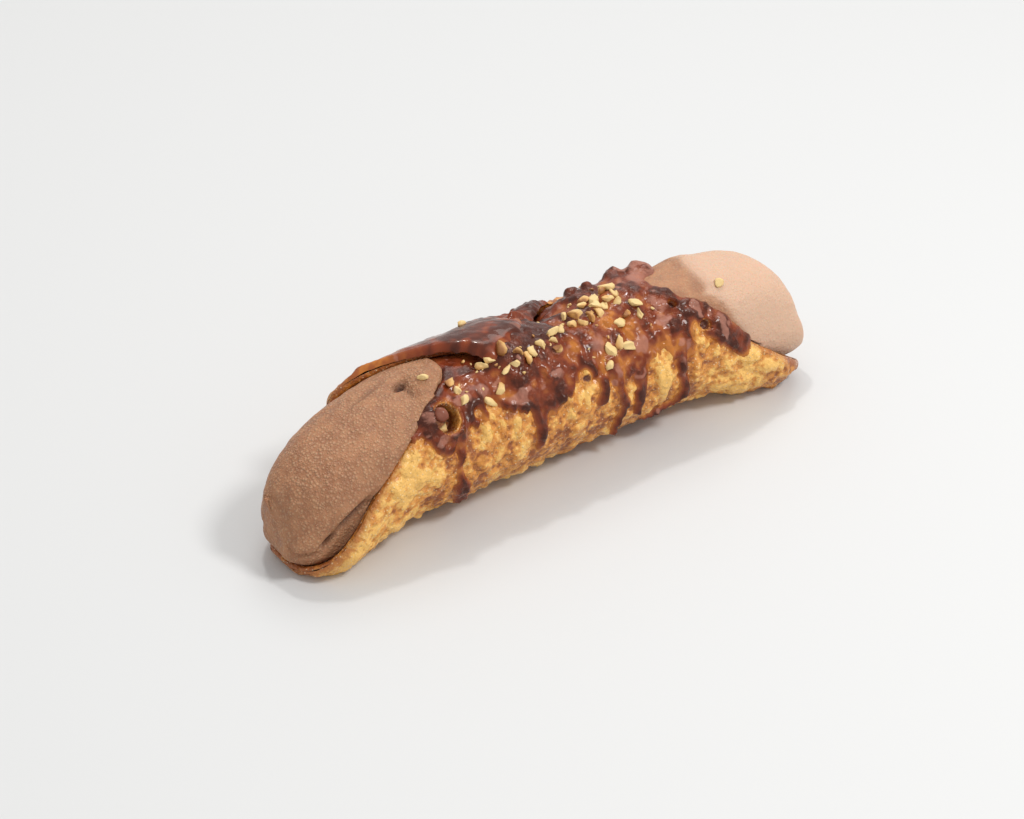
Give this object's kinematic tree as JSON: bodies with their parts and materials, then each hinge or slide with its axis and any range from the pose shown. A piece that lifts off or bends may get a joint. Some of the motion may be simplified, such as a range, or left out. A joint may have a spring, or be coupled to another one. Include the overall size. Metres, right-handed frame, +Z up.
{
  "type": "cannolo",
  "caption": "Fried pastry rolled into a tube with long tips underneath, filled with chocolate ice cream that swells out of both ends, glazed with chocolate and strewn with chopped nuts.",
  "frame": {"origin": "centre of the roll's bounding box, on the surface it rests on", "axes": "+X along the roll, -Y towards its front, where most of the glaze runs down, +Z up"},
  "size_m": [0.1486, 0.0382, 0.0361],
  "materials": {
    "fried_pastry": "crisp, blistered, a little oily",
    "ice_cream": "frozen, finely grained"
  },
  "bodies": {
    "root": {"shell": "fried_pastry", "filling": "ice_cream"}
  },
  "joints": []
}
